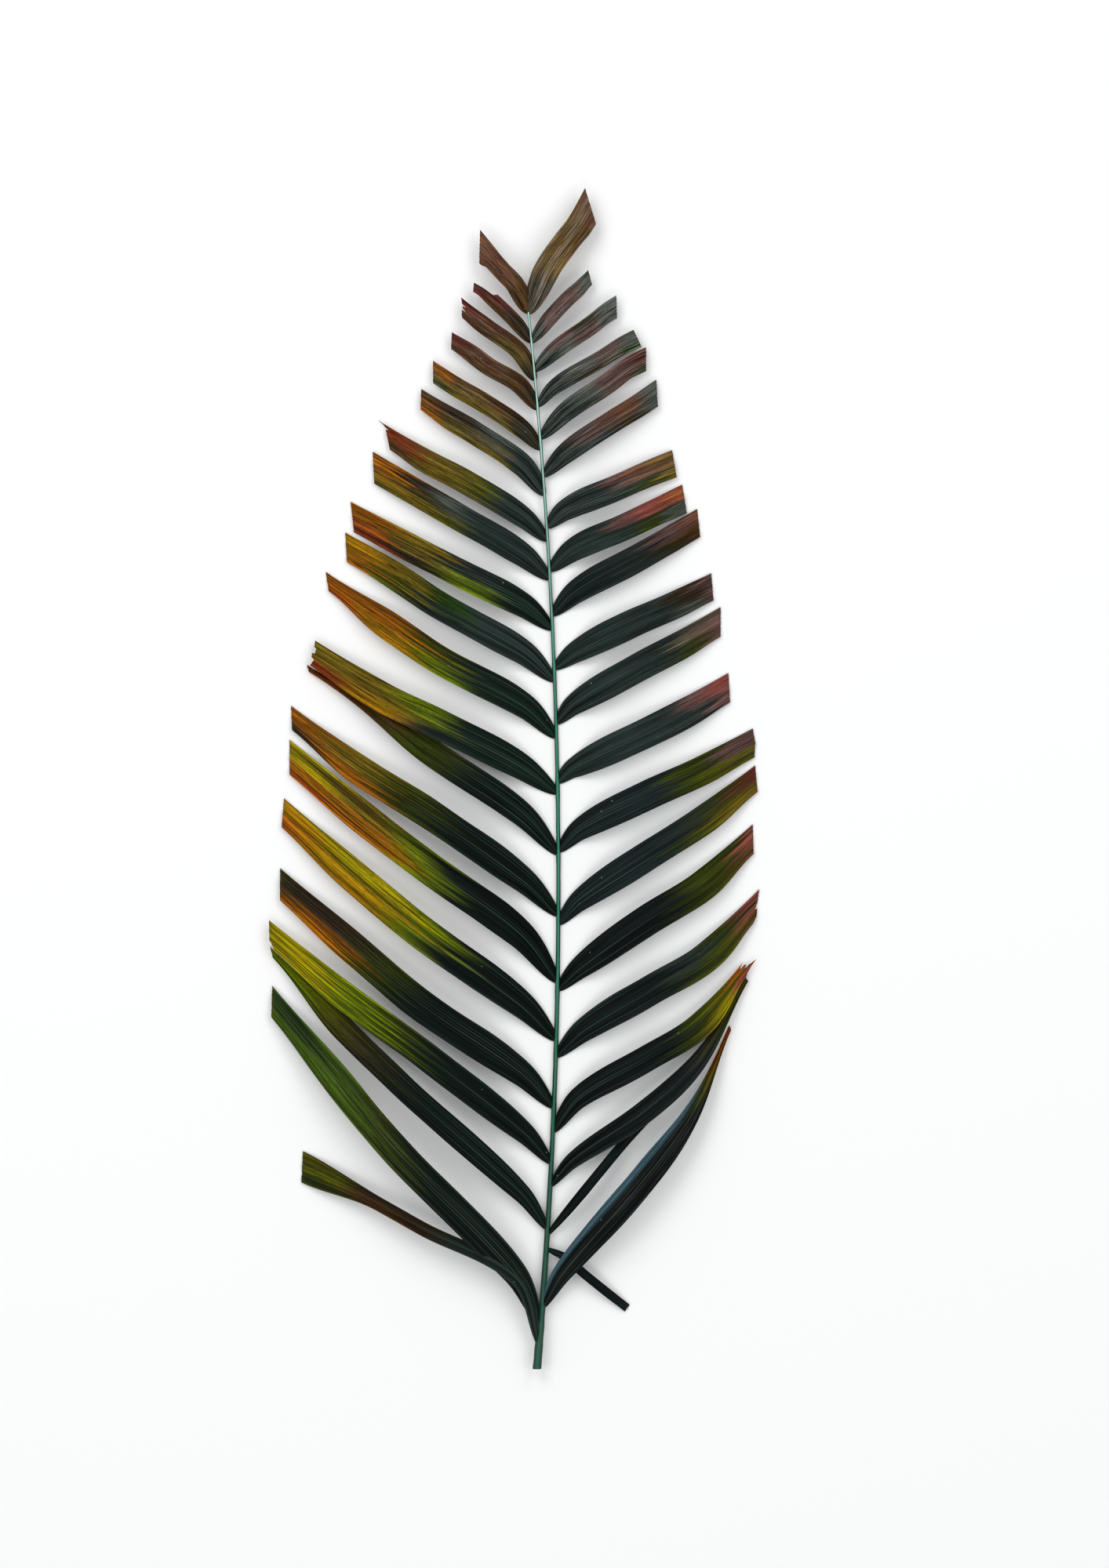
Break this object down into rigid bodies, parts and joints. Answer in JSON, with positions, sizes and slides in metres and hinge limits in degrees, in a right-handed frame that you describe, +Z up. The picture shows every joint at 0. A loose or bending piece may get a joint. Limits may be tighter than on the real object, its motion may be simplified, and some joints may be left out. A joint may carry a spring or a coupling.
{
  "type": "preserved areca palm frond",
  "caption": "Trimmed preserved palm frond with a slender keeled stalk and two rows of pleated, square-cut leaflets, lying face up.",
  "frame": {"origin": "on the flat underside of the stalk, where the frond rests on a surface", "axes": "+X right across the frond seen from above, +Y along the stalk towards its tip, +Z up from the surface through the leaf's upper face"},
  "size_m": [0.3744, 0.9022, 0.0272],
  "materials": {
    "leaf": "dry waxy preserved leaf, dark green to near black, fading to yellow-green and orange-brown towards the cut ends"
  },
  "bodies": {
    "root": {"frond": "leaf"}
  },
  "joints": []
}
